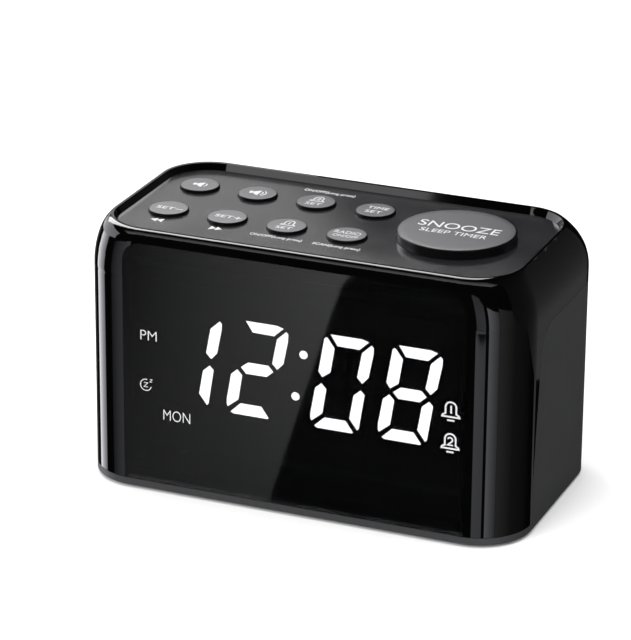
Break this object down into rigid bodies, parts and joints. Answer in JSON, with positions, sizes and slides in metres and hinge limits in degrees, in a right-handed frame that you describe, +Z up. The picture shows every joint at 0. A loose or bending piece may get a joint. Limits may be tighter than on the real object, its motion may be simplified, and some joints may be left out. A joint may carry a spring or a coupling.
{
  "type": "clock radio",
  "caption": "Bedside clock radio: gloss black shell with a full-face smoked display lens, matt rear case, recessed top panel with round keys and a large snooze key.",
  "frame": {"origin": "centre of the footprint, on the surface the feet stand on", "axes": "+Z up, -Y is the front with the display, +X is the right-hand side seen from the front"},
  "size_m": [0.136, 0.072, 0.0815],
  "materials": {
    "gloss_shell": "polished piano black",
    "smoked_lens": "smoked display lens, reads black",
    "matt_case": "fine spark texture",
    "panel_graphite": "satin graphite",
    "key_graphite": "satin graphite",
    "switch_plastic": "moulded",
    "plunger_plastic": "moulded",
    "circuit_board": "solder mask",
    "steel": "zinc plated",
    "segment_plastic": "light diffusing",
    "reflector_plastic": "moulded",
    "led_plastic": "moulded",
    "chip_plastic": "moulded epoxy",
    "tin_plate": "tinned",
    "capacitor_sleeve": "shrink sleeve",
    "ferrite": "sintered",
    "copper": "enamelled wire",
    "plug_plastic": "moulded",
    "socket_plastic": "moulded",
    "foam_rubber": "closed cell",
    "basket_steel": "pressed",
    "cone_paper": "pulp",
    "foot_rubber": "moulded",
    "black_steel": "black oxide",
    "ribbon_plastic": "flat cable"
  },
  "bodies": {
    "case": {"capacitors": "capacitor_sleeve", "case_screws": "black_steel", "chips": "chip_plastic", "contact_plates": "tin_plate", "contact_springs": "tin_plate", "dc_jack": "socket_plastic", "dc_pin": "tin_plate", "digit_segments": "segment_plastic", "display_board": "circuit_board", "display_board_screws": "steel", "display_leds": "led_plastic", "display_lens": "smoked_lens", "display_reflector": "reflector_plastic", "ferrite_coil": "copper", "ferrite_rod": "ferrite", "front_shell": "gloss_shell", "key_board": "circuit_board", "key_board_screws": "steel", "key_ribbon": "ribbon_plastic", "main_board": "circuit_board", "main_board_screws": "steel", "rear_case": "matt_case", "ribbon_plugs": "plug_plastic", "rod_cradles": "plug_plastic", "rubber_feet": "foot_rubber", "speaker_basket": "basket_steel", "speaker_cone": "cone_paper", "speaker_gasket": "foam_rubber", "speaker_magnet": "ferrite", "speaker_screws": "steel", "switch_plungers": "plunger_plastic", "tact_switches": "switch_plastic", "top_panel": "panel_graphite", "tuner_can": "tin_plate"},
    "set_minus_key": {"key_set_minus": "key_graphite"},
    "set_plus_key": {"key_set_plus": "key_graphite"},
    "alarm_1_key": {"key_alarm_1": "key_graphite"},
    "radio_key": {"key_radio": "key_graphite"},
    "volume_down_key": {"key_volume_down": "key_graphite"},
    "volume_up_key": {"key_volume_up": "key_graphite"},
    "alarm_2_key": {"key_alarm_2": "key_graphite"},
    "time_set_key": {"key_time_set": "key_graphite"},
    "snooze_key": {"key_snooze": "key_graphite"},
    "battery_cover": {"battery_door": "matt_case"}
  },
  "joints": [
    {"name": "set_minus_press", "type": "slide", "parent": "case", "child": "set_minus_key", "axis": [0, 0, -1], "range_m": [0, 0.0005], "stiffness_N_per_m": 900},
    {"name": "set_plus_press", "type": "slide", "parent": "case", "child": "set_plus_key", "axis": [0, 0, -1], "range_m": [0, 0.0005], "stiffness_N_per_m": 900},
    {"name": "alarm_1_press", "type": "slide", "parent": "case", "child": "alarm_1_key", "axis": [0, 0, -1], "range_m": [0, 0.0005], "stiffness_N_per_m": 900},
    {"name": "radio_press", "type": "slide", "parent": "case", "child": "radio_key", "axis": [0, 0, -1], "range_m": [0, 0.0005], "stiffness_N_per_m": 900},
    {"name": "volume_down_press", "type": "slide", "parent": "case", "child": "volume_down_key", "axis": [0, 0, -1], "range_m": [0, 0.0005], "stiffness_N_per_m": 900},
    {"name": "volume_up_press", "type": "slide", "parent": "case", "child": "volume_up_key", "axis": [0, 0, -1], "range_m": [0, 0.0005], "stiffness_N_per_m": 900},
    {"name": "alarm_2_press", "type": "slide", "parent": "case", "child": "alarm_2_key", "axis": [0, 0, -1], "range_m": [0, 0.0005], "stiffness_N_per_m": 900},
    {"name": "time_set_press", "type": "slide", "parent": "case", "child": "time_set_key", "axis": [0, 0, -1], "range_m": [0, 0.0005], "stiffness_N_per_m": 900},
    {"name": "snooze_press", "type": "slide", "parent": "case", "child": "snooze_key", "axis": [0, 0, -1], "range_m": [0, 0.0008], "stiffness_N_per_m": 1200},
    {"name": "battery_door_slide", "type": "slide", "parent": "case", "child": "battery_cover", "axis": [0, 1, 0], "range_m": [0, 0.032]}
  ]
}
